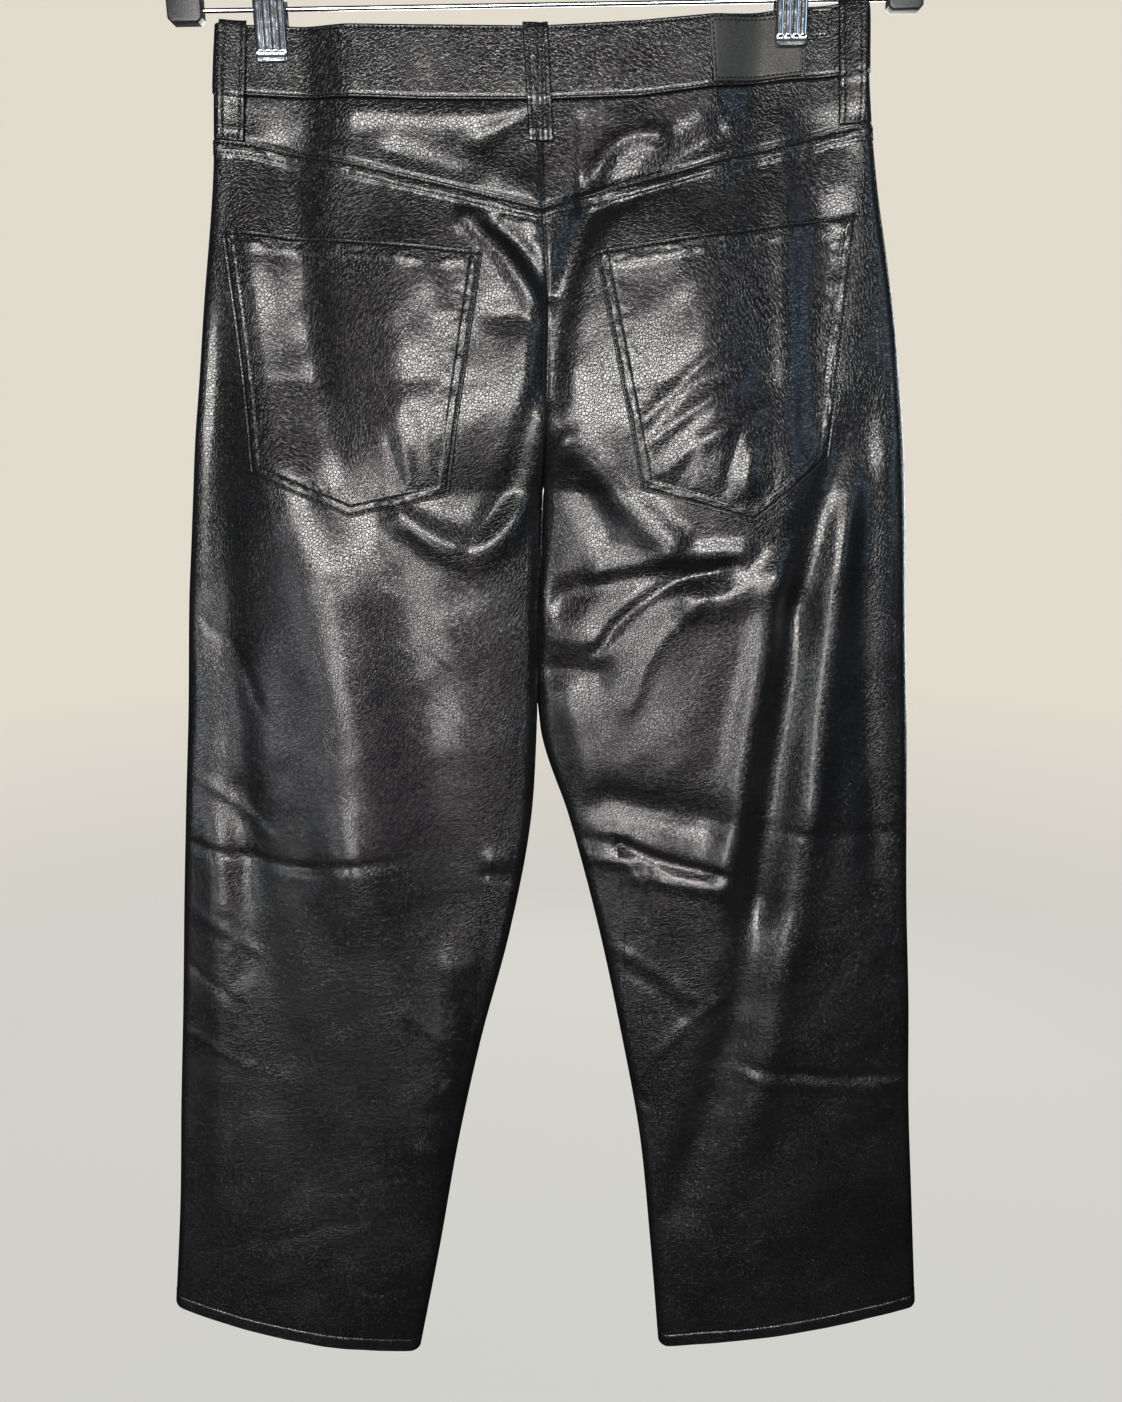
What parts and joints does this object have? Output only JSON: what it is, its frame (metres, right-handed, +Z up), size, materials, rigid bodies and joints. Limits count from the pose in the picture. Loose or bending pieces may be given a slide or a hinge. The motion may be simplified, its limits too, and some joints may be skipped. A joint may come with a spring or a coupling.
{
  "type": "faux leather trousers on a clip hanger",
  "caption": "Straight cropped trousers in black faux leather with a back yoke, patch pockets and belt loops, gripped at the waistband by a trouser hanger's clips.",
  "frame": {"origin": "the point of the hook's inner face that bears on the rail, in the middle of the garment's thickness", "axes": "+Z up, +X to the wearer's right, and the wearer's back, which the picture shows, faces -Y"},
  "size_m": [0.5868, 0.0654, 1.0932],
  "materials": {
    "faux_leather": "black pebbled coated cloth, semi-gloss",
    "patch": "dark grey brown smooth coated patch, satin, bare",
    "button_metal": "dark nickel, polished",
    "hanger_metal": "bright chrome plate",
    "hanger_plastic": "black moulded plastic, satin"
  },
  "bodies": {
    "root": {"back_left": "faux_leather", "back_right": "faux_leather", "front_left": "faux_leather", "front_right": "faux_leather", "yoke_left": "faux_leather", "yoke_right": "faux_leather", "waistband_back": "faux_leather", "waistband_front_left": "faux_leather", "waistband_front_right": "faux_leather", "pocket_left": "faux_leather", "pocket_right": "faux_leather", "belt_loop_side_left": "faux_leather", "belt_loop_centre": "faux_leather", "belt_loop_side_right": "faux_leather", "belt_loop_front_left": "faux_leather", "belt_loop_front_right": "faux_leather", "waist_tab": "faux_leather", "fly_flap": "faux_leather", "waist_patch": "patch", "waist_button": "button_metal", "hanger_hook": "hanger_metal", "hanger_bar": "hanger_metal", "clip_left_sleeve": "hanger_metal", "clip_left_jaw_back": "hanger_metal", "clip_left_jaw_front": "hanger_metal", "clip_right_sleeve": "hanger_metal", "clip_right_jaw_back": "hanger_metal", "clip_right_jaw_front": "hanger_metal", "hanger_body": "hanger_plastic"}
  },
  "joints": []
}
